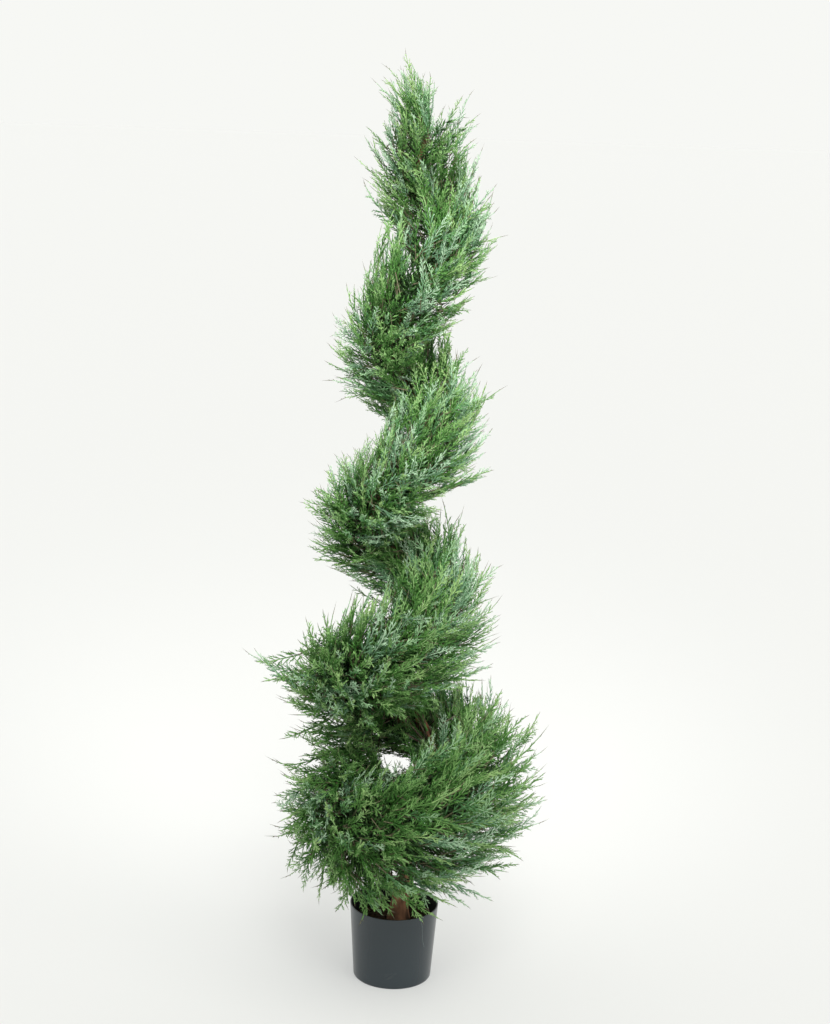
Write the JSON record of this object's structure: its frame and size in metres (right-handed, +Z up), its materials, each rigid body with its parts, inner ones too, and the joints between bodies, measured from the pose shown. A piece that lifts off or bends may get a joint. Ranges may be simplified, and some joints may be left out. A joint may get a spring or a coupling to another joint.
{
  "type": "artificial spiral topiary",
  "caption": "Artificial spiral topiary of soft conifer sprays wound round a bark-clad stem, standing in a plain round plastic pot.",
  "frame": {"origin": "centre of the pot's flat underside, on the ground", "axes": "+Z up along the plant; -Y is the front, the side seen first; +X to the right of the front"},
  "size_m": [0.5678, 0.5376, 1.8061],
  "materials": {
    "pot": "smooth slate-grey plastic with a soft sheen and faint scuffs",
    "pot_fill": "cast fill under a dark brown, loose fibre top",
    "bark": "rough reddish-brown fibrous bark",
    "foliage": "soft matt green needle sprays in several greens"
  },
  "bodies": {
    "root": {"pot": "pot", "pot_fill": "pot_fill", "trunk": "bark", "bough_1": "bark", "bough_2": "bark", "bough_3": "bark", "foliage_01": "foliage", "foliage_02": "foliage", "foliage_03": "foliage", "foliage_04": "foliage", "foliage_05": "foliage", "foliage_06": "foliage", "foliage_07": "foliage", "foliage_08": "foliage", "foliage_09": "foliage", "foliage_10": "foliage", "foliage_11": "foliage", "foliage_12": "foliage", "foliage_13": "foliage", "foliage_14": "foliage", "foliage_15": "foliage", "foliage_16": "foliage", "foliage_17": "foliage", "foliage_18": "foliage", "foliage_19": "foliage", "foliage_bough_1": "foliage", "foliage_bough_2": "foliage", "foliage_bough_3": "foliage"}
  },
  "joints": []
}
